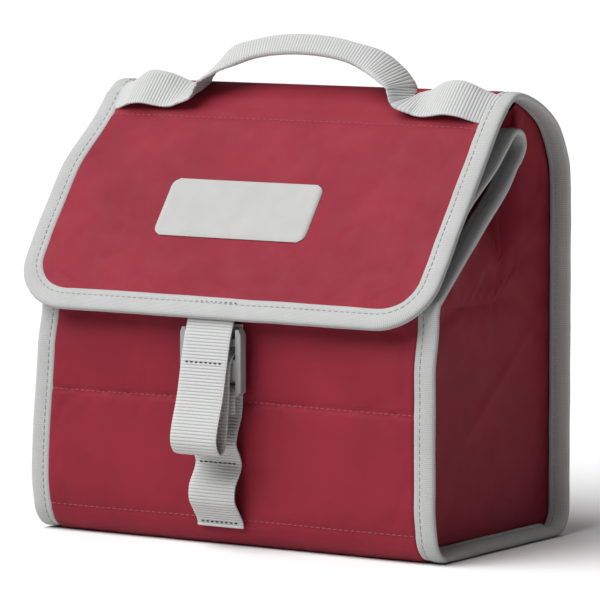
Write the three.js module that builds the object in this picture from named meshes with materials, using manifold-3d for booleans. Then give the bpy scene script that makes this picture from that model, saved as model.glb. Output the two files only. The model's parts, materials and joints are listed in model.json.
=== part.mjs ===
// Soft insulated lunch bag with a fold-over flap, a webbing handle and a buckled front strap.
// Millimetres, +Z up, -Y towards the front. The origin is the middle of the base's underside.
import * as THREE from "three";
import { mergeVertices } from "three/addons/utils/BufferGeometryUtils.js";
import Module from "manifold-3d";

// Driving dimensions
const BODY_WIDTH = 200; // across the side panels
const BODY_DEPTH = 120; // front wall to rear wall
const FRONT_HEIGHT = 113; // where the front wall folds back
const REAR_HEIGHT = 162; // where the rear wall starts to lean forward
const CORNER_RADIUS = 12; // front and rear edges of the base
const SKIN = 1.2; // coated fabric
const FOAM = 4; // closed-cell insulation
const SIDE_FOAM = 3.2;
const LINER = 0.8;
const GAP = 0.3; // clearance between touching layers
const BINDING_REACH = 9.7; // how far the bound edges stand out sideways
const BINDING_THICK = 3.6;
const WEBBING = 1.6;
const WEBBING_WIDTH = 25;
const FLAP_LENGTH = 110; // hinge line to the bound lower edge
const FLAP_RADIUS = 26; // lower corners of the flap
const FLAP_HINGE = [-7, 195]; // Y and Z of the flap's hinge line
const FLAP_ANGLE = 0.93; // lean of the flap from level, radians
const FOLD_DEPTH = 48; // how far the side folds are tucked in at the mouth
const STRAP_X = -4; // middle of the front strap
const BUCKLE_WIDTH = 33;
const LABEL = { x: -9, v: -53, width: 82, height: 31, radius: 4.5, thick: 0.8 };

// Depths of the layers behind a panel's outer face
const FOAM_AT = SKIN + GAP;
const LINER_AT = FOAM_AT + FOAM + GAP;
const LINER_END = LINER_AT + LINER;
const HALF_WIDTH = BODY_WIDTH / 2;
const HALF_DEPTH = BODY_DEPTH / 2;
const PANEL_X = HALF_WIDTH - 0.1;
const FOAM_X = 94;
const BINDING_X = HALF_WIDTH + GAP;

// Materials
function paint(color, roughness, metalness = 0) {
  return new THREE.MeshStandardMaterial({ color, roughness, metalness });
}

const red = paint(0x96384a, 0.55);
const tape = paint(0xb9bab8, 0.85);
const webbing = paint(0xb4b5b4, 0.9);
const foam = paint(0xe4e4df, 0.9);
const lining = paint(0xc4c8cb, 0.45);
const board = paint(0x2c2d30, 0.6);
const plastic = paint(0x55585b, 0.4);
const patch = paint(0xcfd1d0, 0.7);

const part = new THREE.Group();

function add(name, geometry, material, parent = part) {
  const mesh = new THREE.Mesh(geometry, material);
  mesh.name = name;
  parent.add(mesh);
  return mesh;
}

// Outlines in the Y-Z plane are lists of [y, z]. Walked with the inside of the bag on the left,
// a positive offset moves towards the inside.
function arc(cy, cz, radius, from, to, steps) {
  const points = [];
  for (let i = 0; i <= steps; i++) {
    const a = THREE.MathUtils.degToRad(from + ((to - from) * i) / steps);
    points.push([cy + radius * Math.cos(a), cz + radius * Math.sin(a)]);
  }
  return points;
}

function smooth(points, steps) {
  const curve = new THREE.CatmullRomCurve3(points.map(([y, z]) => new THREE.Vector3(y, z, 0)));
  return curve.getSpacedPoints(steps).map((p) => [p.x, p.y]);
}

function offset(path, distance) {
  return path.map(([y, z], i) => {
    const before = path[Math.max(i - 1, 0)];
    const after = path[Math.min(i + 1, path.length - 1)];
    const a = new THREE.Vector2(y - before[0], z - before[1]);
    const b = new THREE.Vector2(after[0] - y, after[1] - z);
    if (a.lengthSq() === 0) a.copy(b);
    if (b.lengthSq() === 0) b.copy(a);
    a.normalize();
    b.normalize();
    const n = new THREE.Vector2(-a.y - b.y, a.x + b.x).normalize();
    const reach = distance / (n.x * -a.y + n.y * a.x);
    return [y + n.x * reach, z + n.y * reach];
  });
}

function bandOutline(path, near, far) {
  return [...offset(path, near), ...offset(path, far).reverse()];
}

function shapeOf(points) {
  return new THREE.Shape(points.map(([a, b]) => new THREE.Vector2(a, b)));
}

// A closed outline in Y-Z, carried from x0 to x1.
function across(outline, x0, x1) {
  const points = outline.map(([a, b]) => new THREE.Vector2(a, b));
  if (THREE.ShapeUtils.isClockWise(points)) points.reverse();
  const solid = new THREE.ExtrudeGeometry(new THREE.Shape(points), {
    depth: x1 - x0,
    bevelEnabled: false,
    curveSegments: 6,
  });
  const toYZ = new THREE.Matrix4().makeBasis(
    new THREE.Vector3(0, 1, 0),
    new THREE.Vector3(0, 0, 1),
    new THREE.Vector3(1, 0, 0),
  );
  return solid.applyMatrix4(toYZ).translate(x0, 0, 0);
}

function band(path, near, far, x0, x1) {
  return across(bandOutline(path, near, far), x0, x1);
}

function bothSides(name, x0, x1, material, make, parent = part) {
  add(`${name}_right`, make(x0, x1), material, parent);
  add(`${name}_left`, make(-x1, -x0), material, parent);
}

// Side profile of the bag
const frontWall = [
  [-HALF_DEPTH, FRONT_HEIGHT - 0.5],
  ...arc(-HALF_DEPTH + CORNER_RADIUS, CORNER_RADIUS, CORNER_RADIUS, 180, 269, 5),
];
const baseRun = [
  [-HALF_DEPTH + CORNER_RADIUS + 0.2, 0],
  [HALF_DEPTH - CORNER_RADIUS - 0.2, 0],
];
const rearWall = [
  ...arc(HALF_DEPTH - CORNER_RADIUS, CORNER_RADIUS, CORNER_RADIUS, 271, 360, 5),
  [HALF_DEPTH, REAR_HEIGHT - 0.5],
];
const bodyRun = [...frontWall, ...rearWall];
const topRun = smooth(
  [
    [HALF_DEPTH, REAR_HEIGHT + 0.2],
    [57.6, 176],
    [48, 192.5],
    [30, 203.6],
    [12, 208.2],
    [1.5, 203.6],
    [FLAP_HINGE[0] + 0.6, FLAP_HINGE[1] + 0.8],
  ],
  14,
);
// The front's upper edge leans back to a crest under the ridge, then folds forward as a cuff.
const throatSlope = [
  [14, 174],
  [2, 164],
  [-20, 146.5],
  [-58, 115.6],
];
const cuffRun = smooth(
  [
    [-20, 158],
    [2, 184.5],
    [10, 191.5],
    [18, 189.8],
    [20.2, 182.4],
    [14.8, 174.8],
  ],
  12,
);

function straightPanel(run, near, far, z0, z1, side) {
  const y0 = side * (HALF_DEPTH - near);
  const y1 = side * (HALF_DEPTH - far);
  return across(
    [
      [y0, z0],
      [y1, z0],
      [y1, z1],
      [y0, z1],
    ],
    -run,
    run,
  );
}

// Front, rear and base walls, each with its insulation and liner
const WALLS = [
  { name: "front", side: -1, foamTop: FRONT_HEIGHT - 6 },
  { name: "rear", side: 1, foamTop: REAR_HEIGHT - 3 },
];
const FOAM_FOOT = CORNER_RADIUS + 2;
const LINER_FOOT = 9.4;
add("front_panel", band(frontWall, 0, SKIN, -PANEL_X, PANEL_X), red);
add("rear_panel", band(rearWall, 0, SKIN, -PANEL_X, PANEL_X), red);
add("base_panel", band(baseRun, 0, SKIN, -PANEL_X, PANEL_X), red);
for (const { name, side, foamTop } of WALLS) {
  const foamSlab = straightPanel(FOAM_X, FOAM_AT, FOAM_AT + FOAM, FOAM_FOOT, foamTop, side);
  const linerSheet = straightPanel(FOAM_X, LINER_AT, LINER_END, LINER_FOOT, foamTop, side);
  add(`${name}_foam`, foamSlab, foam);
  add(`${name}_liner`, linerSheet, lining);
}

const BOARD = 2;
const baseLayers = [
  { name: "base_foam", z: FOAM_AT, thick: FOAM, depth: 48, material: foam },
  { name: "base_board", z: LINER_AT, thick: BOARD, depth: 50, material: board },
  { name: "base_liner", z: LINER_AT + BOARD + GAP, thick: LINER, depth: 52.5, material: lining },
];
for (const { name, z, thick, depth, material } of baseLayers) {
  const sheet = new THREE.BoxGeometry(2 * FOAM_X, 2 * depth, thick);
  add(name, sheet.translate(0, 0, z + thick / 2), material);
}

// Side panels: flat below, with an insulated lower part
const FOLD_FOOT = [8, 112]; // where the tucked-in crease starts
const SIDE_TOP = 104; // top of the side insulation
const sideOutline = [
  [-HALF_DEPTH + SKIN + 0.4, FOLD_FOOT[1]],
  ...offset(bodyRun, SKIN + 0.4).slice(1, -1),
  [HALF_DEPTH - SKIN - 0.4, REAR_HEIGHT - 4],
  FOLD_FOOT,
];
bothSides("side_panel", HALF_WIDTH - SKIN, HALF_WIDTH, red, (x0, x1) => {
  return across(sideOutline, x0, x1);
});
const sideLining = [
  [-HALF_DEPTH + SKIN + 1, LINER_FOOT + 0.6],
  [HALF_DEPTH - SKIN - 1, LINER_FOOT + 0.6],
  [HALF_DEPTH - SKIN - 1, SIDE_TOP],
  [-HALF_DEPTH + SKIN + 1, SIDE_TOP],
];
const sideFoamX = HALF_WIDTH - SKIN - GAP - SIDE_FOAM;
bothSides("side_foam", sideFoamX, sideFoamX + SIDE_FOAM, foam, (x0, x1) => {
  return across(sideLining, x0, x1);
});
bothSides("side_liner", sideFoamX - GAP - LINER, sideFoamX - GAP, lining, (x0, x1) => {
  return across(sideLining, x0, x1);
});
bothSides("body_binding", BINDING_X, BINDING_X + BINDING_REACH, tape, (x0, x1) => {
  return band(bodyRun, 0, BINDING_THICK, x0, x1);
});

// Upper rear wall and ridge, which carries the handle
const TOP_FOAM_X = 80;
const topInner = topRun.slice(1, -1);
add("top_panel", band(topRun, 0, SKIN, -PANEL_X, PANEL_X), red);
add("top_foam", band(topInner, FOAM_AT, FOAM_AT + FOAM, -TOP_FOAM_X, TOP_FOAM_X), foam);
add("top_liner", band(topInner, LINER_AT, LINER_END, -TOP_FOAM_X, TOP_FOAM_X), lining);
bothSides("top_binding", BINDING_X, BINDING_X + BINDING_REACH, tape, (x0, x1) => {
  return band(topRun, 0, BINDING_THICK, x0, x1);
});

// Throat: the upper front wall that leans back, its crest and its cuff
const THROAT_FOAM_X = 80;
const CUFF = 2.4;
const throatInner = [
  [8, 168.9],
  [-20, 146.5],
  [-50, 122.2],
];
add("throat_panel", band(throatSlope, 0, SKIN, -PANEL_X, PANEL_X), red);
add(
  "throat_foam",
  band(throatInner, FOAM_AT, FOAM_AT + FOAM, -THROAT_FOAM_X, THROAT_FOAM_X),
  foam,
);
add("throat_liner", band(throatInner, LINER_AT, LINER_END, -THROAT_FOAM_X, THROAT_FOAM_X), lining);
add("throat_cuff", band(cuffRun, 0, CUFF, -PANEL_X, PANEL_X), red);
const throatEdge = [...cuffRun, ...throatSlope.slice(1)];
bothSides("throat_binding", BINDING_X, BINDING_X + BINDING_REACH - 2, tape, (x0, x1) => {
  return band(throatEdge, 0, BINDING_THICK - 0.4, x0, x1);
});

// Tucked-in side folds: two thin skins on each side that meet at an inward crease
const FOLD_ROWS = 6;
const FOLD_COLUMNS = 3;
const FOLD_THICK = 1;
const FOLD_EDGE_X = HALF_WIDTH - 1.4;
const CREASE_TOP = [30, 184];

function along(path, t) {
  const curve = new THREE.CatmullRomCurve3(path.map(([y, z]) => new THREE.Vector3(0, y, z)));
  return curve.getPointAt(t);
}

function foldSkin(edge, creaseShift, inward, sign) {
  const rows = [];
  for (let i = 0; i <= FOLD_ROWS; i++) {
    const t = i / FOLD_ROWS;
    const outer = along(edge, t).setX(FOLD_EDGE_X);
    const crease = new THREE.Vector3(
      FOLD_EDGE_X - 5 - (FOLD_DEPTH - 5) * t,
      FOLD_FOOT[0] + (CREASE_TOP[0] - FOLD_FOOT[0]) * t + creaseShift,
      FOLD_FOOT[1] + 1.2 + (CREASE_TOP[1] - FOLD_FOOT[1] - 1.2) * t,
    );
    const row = [];
    for (let j = 0; j <= FOLD_COLUMNS; j++) {
      row.push(outer.clone().lerp(crease, j / FOLD_COLUMNS));
    }
    rows.push(row);
  }
  const front = [];
  const back = [];
  rows.forEach((row, i) => {
    row.forEach((point, j) => {
      const up = rows[Math.min(i + 1, FOLD_ROWS)][j].clone();
      up.sub(rows[Math.max(i - 1, 0)][j]);
      const side = row[Math.min(j + 1, FOLD_COLUMNS)].clone();
      side.sub(row[Math.max(j - 1, 0)]);
      const normal = up.cross(side).normalize();
      if (normal.dot(inward) < 0) normal.negate();
      front.push(point.clone().setX(sign * point.x));
      const inner = point.clone().addScaledVector(normal, FOLD_THICK);
      back.push(inner.setX(sign * inner.x));
    });
  });
  return closedSheet(front, back, FOLD_ROWS + 1, FOLD_COLUMNS + 1);
}

// Two grids of points joined round their rim into one closed body facing out.
function closedSheet(front, back, rows, columns) {
  const all = [...front, ...back];
  const count = front.length;
  const faces = [];
  const quad = (a, b, c, d) => faces.push(a, b, c, a, c, d);
  for (let i = 0; i < rows - 1; i++) {
    for (let j = 0; j < columns - 1; j++) {
      const a = i * columns + j;
      quad(a, a + 1, a + columns + 1, a + columns);
      quad(count + a, count + a + columns, count + a + columns + 1, count + a + 1);
    }
  }
  const rim = [];
  for (let j = 0; j < columns - 1; j++) rim.push(j);
  for (let i = 0; i < rows - 1; i++) rim.push(i * columns + columns - 1);
  for (let j = columns - 1; j > 0; j--) rim.push((rows - 1) * columns + j);
  for (let i = rows - 1; i > 0; i--) rim.push(i * columns);
  rim.forEach((a, k) => {
    const b = rim[(k + 1) % rim.length];
    quad(b, a, count + a, count + b);
  });
  const body = new THREE.BufferGeometry();
  body.setAttribute("position", new THREE.Float32BufferAttribute(all.flatMap((p) => p.toArray()), 3));
  body.setIndex(faces);
  if (volume(body) < 0) body.setIndex(faces.reverse());
  body.computeVertexNormals();
  return body;
}

function volume(body) {
  const at = body.getAttribute("position");
  const index = body.getIndex().array;
  const [a, b, c] = [new THREE.Vector3(), new THREE.Vector3(), new THREE.Vector3()];
  let sum = 0;
  for (let i = 0; i < index.length; i += 3) {
    a.fromBufferAttribute(at, index[i]);
    b.fromBufferAttribute(at, index[i + 1]);
    c.fromBufferAttribute(at, index[i + 2]);
    sum += a.dot(b.cross(c)) / 6;
  }
  return sum;
}

const frontFoldEdge = offset(
  [
    [16, 175.7],
    [2, 164],
    [-20, 146.5],
    [-55, 118.2],
  ],
  2,
).reverse();
const rearFoldEdge = [[HALF_DEPTH - 2.2, REAR_HEIGHT - 2.5], ...offset(topRun, 2.2).slice(1, 9)];
const frontInward = new THREE.Vector3(-0.5, 0.6, -0.6);
const rearInward = new THREE.Vector3(-0.6, 0.5, 0.6);
for (const [side, sign] of [["right", 1], ["left", -1]]) {
  add(`side_fold_front_${side}`, foldSkin(frontFoldEdge, -0.5, frontInward, sign), red);
  add(`side_fold_rear_${side}`, foldSkin(rearFoldEdge, 0.5, rearInward, sign), red);
}

// Flap, in its own plane: x across, y up the slope from the hinge line, z outwards
const flap = new THREE.Group();
flap.position.set(0, FLAP_HINGE[0], FLAP_HINGE[1]);
flap.rotation.x = FLAP_ANGLE;
part.add(flap);

const FLAP_X = HALF_WIDTH + GAP + BINDING_REACH;
const FLAP_BINDING_WIDTH = 10.5;
const FLAP_SKIN = 1.2;
const FLAP_FOAM = 1.6;
const FLAP_START = -0.8;

function tongue(halfWidth, length, radius, top) {
  const shape = new THREE.Shape();
  shape.moveTo(-halfWidth, top);
  shape.lineTo(-halfWidth, -length + radius);
  shape.absarc(-halfWidth + radius, -length + radius, radius, Math.PI, 1.5 * Math.PI, false);
  shape.lineTo(halfWidth - radius, -length);
  shape.absarc(halfWidth - radius, -length + radius, radius, 1.5 * Math.PI, 2 * Math.PI, false);
  shape.lineTo(halfWidth, top);
  return shape;
}

function slab(shape, z0, z1) {
  const solid = new THREE.ExtrudeGeometry(shape, {
    depth: z1 - z0,
    bevelEnabled: false,
    curveSegments: 7,
  });
  return solid.translate(0, 0, z0);
}

const innerX = FLAP_X - FLAP_BINDING_WIDTH - GAP;
const innerLength = FLAP_LENGTH - FLAP_BINDING_WIDTH - GAP;
const innerRadius = FLAP_RADIUS - FLAP_BINDING_WIDTH;
const flapFoamAt = -FLAP_SKIN - GAP - FLAP_FOAM;
const flapLiningAt = flapFoamAt - GAP - LINER;
const flapOutline = tongue(innerX, innerLength, innerRadius, FLAP_START);
add("flap_panel", slab(flapOutline, -FLAP_SKIN, 0), red, flap);
const flapFoamOutline = tongue(innerX - 2, innerLength - 2, innerRadius - 2, FLAP_START - 1.5);
add("flap_foam", slab(flapFoamOutline, flapFoamAt, flapFoamAt + FLAP_FOAM), foam, flap);
const flapLiningOutline = tongue(innerX, innerLength, innerRadius, FLAP_START - 2.5);
add("flap_lining", slab(flapLiningOutline, flapLiningAt, flapLiningAt + LINER), lining, flap);

const bindingShape = tongue(FLAP_X, FLAP_LENGTH, FLAP_RADIUS, FLAP_START);
const ringInner = tongue(innerX + GAP, innerLength + GAP, innerRadius + GAP, FLAP_START);
const ringPoints = [...bindingShape.getPoints(7), ...ringInner.getPoints(7).reverse()];
add("flap_binding", slab(new THREE.Shape(ringPoints), flapLiningAt, 0.4), tape, flap);

function roundedPlate(width, height, radius) {
  const [w, h] = [width / 2, height / 2];
  const shape = new THREE.Shape();
  shape.moveTo(-w + radius, -h);
  shape.lineTo(w - radius, -h);
  shape.absarc(w - radius, -h + radius, radius, -Math.PI / 2, 0, false);
  shape.lineTo(w, h - radius);
  shape.absarc(w - radius, h - radius, radius, 0, Math.PI / 2, false);
  shape.lineTo(-w + radius, h);
  shape.absarc(-w + radius, h - radius, radius, Math.PI / 2, Math.PI, false);
  shape.lineTo(-w, -h + radius);
  shape.absarc(-w + radius, -h + radius, radius, Math.PI, 1.5 * Math.PI, false);
  return shape;
}

const labelPlate = slab(roundedPlate(LABEL.width, LABEL.height, LABEL.radius), GAP, GAP + LABEL.thick);
add("label_patch", labelPlate.translate(LABEL.x, LABEL.v, 0), patch, flap);

// Webbing tails of the handle, lying on the slope between the ridge and the flap's hinge line
const TAIL_ORIGIN = [-0.4, 202.1];
const TAIL_ANGLE = 0.83; // lean of the slope that the tails lie on, radians
const tails = new THREE.Group();
tails.position.set(0, ...TAIL_ORIGIN);
tails.rotation.x = TAIL_ANGLE;
part.add(tails);
const TAIL_WIDTH = 19;
const TAIL_LIFT = 1.4;
const tailRun = smooth(
  [
    [104, 0.8],
    [95, 3.4],
    [84, 5.6],
    [74, 4.2],
    [67, 2.0],
    [62.5, 1.4],
  ],
  14,
);

function tailBand(sign) {
  const outline = bandOutline(tailRun, -WEBBING / 2, WEBBING / 2);
  const points = outline.map(([x, z]) => new THREE.Vector2(sign * x, z + TAIL_LIFT));
  if (THREE.ShapeUtils.isClockWise(points)) points.reverse();
  const solid = new THREE.ExtrudeGeometry(new THREE.Shape(points), {
    depth: TAIL_WIDTH,
    bevelEnabled: false,
  });
  return solid.rotateX(Math.PI / 2).translate(0, TAIL_WIDTH / 2, 0);
}

add("handle_tail_right", tailBand(1), webbing, tails);
add("handle_tail_left", tailBand(-1), webbing, tails);

// Grip: the same webbing folded lengthwise, standing up in an arch
const GRIP_PIVOT = [0.5, 210];
const GRIP_TOP = 232.5;
const GRIP_THICK = 3.4;
const GRIP_WIDTH = 10;
const gripRun = smooth(
  [
    [60, GRIP_PIVOT[1] - 0.6],
    [57, GRIP_PIVOT[1] + 3.8],
    [46, GRIP_TOP - 13],
    [26, GRIP_TOP - 5.2],
    [0, GRIP_TOP - GRIP_THICK / 2],
    [-26, GRIP_TOP - 5.2],
    [-46, GRIP_TOP - 13],
    [-57, GRIP_PIVOT[1] + 3.8],
    [-60, GRIP_PIVOT[1] - 0.6],
  ],
  28,
);
const gripPoints = bandOutline(gripRun, -GRIP_THICK / 2, GRIP_THICK / 2);
const gripShape = shapeOf(gripPoints);
const grip = new THREE.ExtrudeGeometry(gripShape, { depth: GRIP_WIDTH, bevelEnabled: false });
grip.rotateX(Math.PI / 2).translate(0, GRIP_PIVOT[0] + GRIP_WIDTH / 2, 0);
add("handle_grip", grip, webbing);

// Flap strap: down in front of the buckle to a pull-tab fold, back up and behind the socket's bar
const strapX0 = STRAP_X - WEBBING_WIDTH / 2;
const strapX1 = STRAP_X + WEBBING_WIDTH / 2;
const flapStrapRun = smooth(
  [
    [-64.2, 103.2],
    [-67.2, 100.2],
    [-71.2, 96.5],
    [-73.6, 88],
    [-78, 71],
    [-82.6, 57],
    [-83.4, 50],
    [-80.4, 45.4],
    [-76.6, 47.6],
    [-74.8, 55],
    [-73.4, 67],
    [-72.6, 80],
    [-71.4, 87],
    [-66.6, 91.2],
    [-62.6, 95.6],
    [-61.9, 103.2],
  ],
  48,
);
add("flap_strap", band(flapStrapRun, -WEBBING / 2, WEBBING / 2, strapX0, strapX1), webbing);

// Front strap: sewn on at the foot, with slack, then up behind and over the plug's bar
const frontStrapRun = smooth(
  [
    [-61.3, 9.5],
    [-61.9, 12.5],
    [-65.4, 17.5],
    [-68.6, 22.5],
    [-68.2, 29],
    [-64.4, 35],
    [-62.9, 39.2],
    [-64.6, 43.5],
    [-67.4, 48.5],
    [-66, 54.5],
    [-63, 61.5],
    [-62, 69],
    [-62.5, 73.4],
    [-65, 74.9],
    [-67.6, 73.2],
    [-68.2, 68],
    [-68.2, 61],
  ],
  36,
);
add("front_strap", band(frontStrapRun, -WEBBING / 2, WEBBING / 2, strapX0, strapX1), webbing);

// Buckle. Boxes here are [x0, x1, y0, y1, z0, z1], with x from the strap's middle.
const wasm = await Module();
wasm.setup();

function solid(geometry) {
  const plain = geometry.clone();
  plain.deleteAttribute("normal");
  plain.deleteAttribute("uv");
  const merged = mergeVertices(plain, 1e-4);
  const vertProperties = new Float32Array(merged.getAttribute("position").array);
  const triVerts = new Uint32Array(merged.getIndex().array);
  return new wasm.Manifold(new wasm.Mesh({ numProp: 3, vertProperties, triVerts }));
}

function geometryOf(body) {
  const mesh = body.getMesh();
  const geometry = new THREE.BufferGeometry();
  geometry.setAttribute("position", new THREE.BufferAttribute(mesh.vertProperties, 3));
  geometry.setIndex(new THREE.BufferAttribute(mesh.triVerts, 1));
  geometry.computeVertexNormals();
  return geometry;
}

function block([x0, x1, y0, y1, z0, z1]) {
  const box = new THREE.BoxGeometry(x1 - x0, y1 - y0, z1 - z0);
  return box.translate(STRAP_X + (x0 + x1) / 2, (y0 + y1) / 2, (z0 + z1) / 2);
}

// An outline in X-Z (x from the strap's middle), carried from y0 to y1.
function plate(points, y0, y1) {
  const corners = points.map(([x, z]) => new THREE.Vector2(x + STRAP_X, z));
  if (THREE.ShapeUtils.isClockWise(corners)) corners.reverse();
  const body = new THREE.ExtrudeGeometry(new THREE.Shape(corners), {
    depth: y1 - y0,
    bevelEnabled: false,
  });
  return body.rotateX(Math.PI / 2).translate(0, y1, 0);
}

// Socket: a shell open at the back and at the foot, with a webbing bar near its top
const SOCKET = { foot: 70.5, roof: 86, slot: 87.6, bar: 93.5, barTop: 97, top: 101.3 };
const SOCKET_Y = { front: -69.8, plate: -68.2, barFront: -69, back: -65.3 };
const RAIL = 2.4;
const CHAMFER = 2.5;
const MOUTH_CUT = 7.5; // height of the opening cut in the front plate at the foot
const half = BUCKLE_WIDTH / 2;
const cavity = half - RAIL;
const slotHalf = WEBBING_WIDTH / 2 + 1.1;
const socketOutline = [
  [-half + CHAMFER, SOCKET.foot],
  [half - CHAMFER, SOCKET.foot],
  [half, SOCKET.foot + CHAMFER],
  [half, SOCKET.top - CHAMFER],
  [half - 1, SOCKET.top],
  [-half + 1, SOCKET.top],
  [-half, SOCKET.top - CHAMFER],
  [-half, SOCKET.foot + CHAMFER],
];
const { front, plate: plateBack, barFront, back } = SOCKET_Y;
const socketCuts = [
  [-cavity, cavity, plateBack, back + 1, SOCKET.foot - 1, SOCKET.roof],
  [-slotHalf, slotHalf, front - 1, back + 1, SOCKET.slot, SOCKET.bar],
  [-slotHalf, slotHalf, front - 1, back + 1, SOCKET.barTop, SOCKET.top + 1],
  [-slotHalf, slotHalf, front - 1, barFront, SOCKET.slot, SOCKET.top + 1],
  [-slotHalf, slotHalf, front - 1, plateBack + 1, SOCKET.foot - 1, SOCKET.foot + MOUTH_CUT],
];
let socket = solid(plate(socketOutline, front, back));
for (const cut of socketCuts) socket = socket.subtract(solid(block(cut)));
add("buckle_socket", geometryOf(socket), plastic);

// Plug: a base with a webbing bar, a middle tongue and two sprung arms
const PLUG_Y = [-66.5, -63.4];
const PLUG = { foot: 70.6, barTop: 72.8, slotTop: 76.4, top: 78.2, tip: 84.8 };
const plugHalf = cavity - 0.4;
const TONGUE = 3.2;
const ARM_FOOT = 10.2; // inner edge of each arm, from the strap's middle
const ARM_TIP = 10.9;
const ARM_GAP = 0.7; // clearance between the arms and the base
const plugOutline = [
  [-plugHalf, PLUG.foot],
  [plugHalf, PLUG.foot],
  [plugHalf, PLUG.top],
  [TONGUE, PLUG.top],
  [TONGUE - 1, PLUG.tip],
  [-TONGUE + 1, PLUG.tip],
  [-TONGUE, PLUG.top],
  [-plugHalf, PLUG.top],
];
const plugSlot = [-slotHalf, slotHalf, PLUG_Y[0] - 1, PLUG_Y[1] + 1, PLUG.barTop, PLUG.slotTop];
const plug = solid(plate(plugOutline, ...PLUG_Y)).subtract(solid(block(plugSlot)));
add("buckle_plug", geometryOf(plug), plastic);
for (const [side, sign] of [["right", 1], ["left", -1]]) {
  const arm = [
    [ARM_FOOT, PLUG.top + ARM_GAP],
    [plugHalf, PLUG.top + ARM_GAP],
    [plugHalf, PLUG.tip - 1.2],
    [plugHalf - 2.6, PLUG.tip + 0.6],
    [ARM_TIP, PLUG.tip - 1.8],
  ].map(([x, z]) => [sign * x, z]);
  add(`buckle_arm_${side}`, plate(arm, ...PLUG_Y), plastic);
}

export default part;
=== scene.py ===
"""The looks of a soft insulated lunch bag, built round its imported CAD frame."""
import json
import math

import bmesh
import bpy
import numpy as np
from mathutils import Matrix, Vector, noise


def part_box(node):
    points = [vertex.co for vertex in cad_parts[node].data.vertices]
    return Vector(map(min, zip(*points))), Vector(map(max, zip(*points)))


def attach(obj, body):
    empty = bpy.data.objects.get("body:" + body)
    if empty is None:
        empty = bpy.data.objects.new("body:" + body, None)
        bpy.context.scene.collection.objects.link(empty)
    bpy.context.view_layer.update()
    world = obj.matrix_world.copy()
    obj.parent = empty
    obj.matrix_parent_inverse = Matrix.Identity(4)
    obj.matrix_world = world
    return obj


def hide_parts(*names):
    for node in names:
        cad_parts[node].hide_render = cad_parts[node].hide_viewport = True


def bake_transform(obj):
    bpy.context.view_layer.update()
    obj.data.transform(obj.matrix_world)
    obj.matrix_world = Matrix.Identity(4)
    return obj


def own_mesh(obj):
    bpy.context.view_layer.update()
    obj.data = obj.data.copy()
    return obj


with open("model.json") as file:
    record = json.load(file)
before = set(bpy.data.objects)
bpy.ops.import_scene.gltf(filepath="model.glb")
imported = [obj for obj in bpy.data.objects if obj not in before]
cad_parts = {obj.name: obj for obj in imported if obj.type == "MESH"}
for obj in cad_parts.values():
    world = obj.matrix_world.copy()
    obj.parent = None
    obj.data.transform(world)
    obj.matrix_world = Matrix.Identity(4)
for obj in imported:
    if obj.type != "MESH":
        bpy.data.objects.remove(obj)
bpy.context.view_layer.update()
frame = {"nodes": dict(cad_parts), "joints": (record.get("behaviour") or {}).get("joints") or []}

MM = 0.001  # every length below is in millimetres until a mesh is made


# -------- sizes from the frame

def node_box(node):
    low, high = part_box(node)
    return np.array(low) / MM, np.array(high) / MM


def pivot(joint):
    found = next(j for j in frame["joints"] if j["name"] == joint)
    return np.array(found["pos_m"]) / MM


FRONT_Y = node_box("front_panel")[0][1]
REAR_Y = node_box("rear_panel")[1][1]
PANEL_X = node_box("front_panel")[1][0] - 0.2
SIDE_X = node_box("side_panel_right")[1][0]
TAPE_X = node_box("body_binding_right")[0][0]
EDGE_X = node_box("body_binding_right")[1][0]
FRONT_FOLD = pivot("throat_open")[1:]
REAR_FOLD = pivot("ridge_tilt")[1:]
HINGE = pivot("flap_lift")[1:]
CORNER = 12.0
SKIN = 1.2
FLAP_ANGLE = 0.93
FLAP_DOWN = np.array([0, -math.cos(FLAP_ANGLE), -math.sin(FLAP_ANGLE)])
FLAP_OUT = np.array([0, -math.sin(FLAP_ANGLE), math.cos(FLAP_ANGLE)])
FLAP_LENGTH = 110.0
FLAP_RADIUS = 26.0
FLAP_TAPE = 10.5
STRAP_LOW, STRAP_HIGH = node_box("flap_strap")
STRAP_X = (STRAP_LOW[0] + STRAP_HIGH[0]) / 2
STRAP_WIDTH = STRAP_HIGH[0] - STRAP_LOW[0]
LABEL = {"x": -9.0, "v": 53.0, "width": 82.0, "height": 31.0, "corner": 4.5}
FRONT_ROWS = (67.5, 12.4)  # heights of the stitch rows across the front
FRONT_BULGE = 3.0  # how far the front's cloth stands out from its frame at most
FLAP_BOW = 5.4  # how far the flap's left edge bows sideways
FLAP_BOW_OUT = 2.6  # how far it lifts from the flap's face there
SLOUCH = 4.6  # how far the front left corner is drawn in near the mouth
CREASE_DEPTH = 36  # how far the crease of a side fold is tucked in at its top
UNDER_TAPE = 3  # how far the flap's cloth reaches under its binding
HINGE_SEAM = 2.6  # how far the seam under the handle lies down the flap from its hinge line
SETTLE_FRAMES = 16
SIDES = (("right", 1), ("left", -1))


# -------- curves and grids

def spline(points, count):
    """A Catmull-Rom curve through the points, as that many evenly spaced rows."""
    p = np.array(points, float)
    p = np.vstack([2 * p[0] - p[1], p, 2 * p[-1] - p[-2]])
    fine = []
    for i in range(1, len(p) - 2):
        t = np.linspace(0, 1, 24, endpoint=False)[:, None]
        a, b, c, d = p[i - 1], p[i], p[i + 1], p[i + 2]
        fine.append(0.5 * (2 * b + (c - a) * t + (2 * a - 5 * b + 4 * c - d) * t**2
                           + (3 * b - a - 3 * c + d) * t**3))
    fine.append(p[-2][None])
    return even(np.vstack(fine), count)


def arc_length(path):
    step = np.linalg.norm(np.diff(path, axis=0), axis=1)
    return np.concatenate([[0], np.cumsum(step)])


def sampled(values, s, at):
    """Rows of values that are known at the lengths s, read off at other lengths."""
    values = np.asarray(values, float)
    return np.stack([np.interp(at, s, values[:, k]) for k in range(values.shape[1])], 1)


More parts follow.
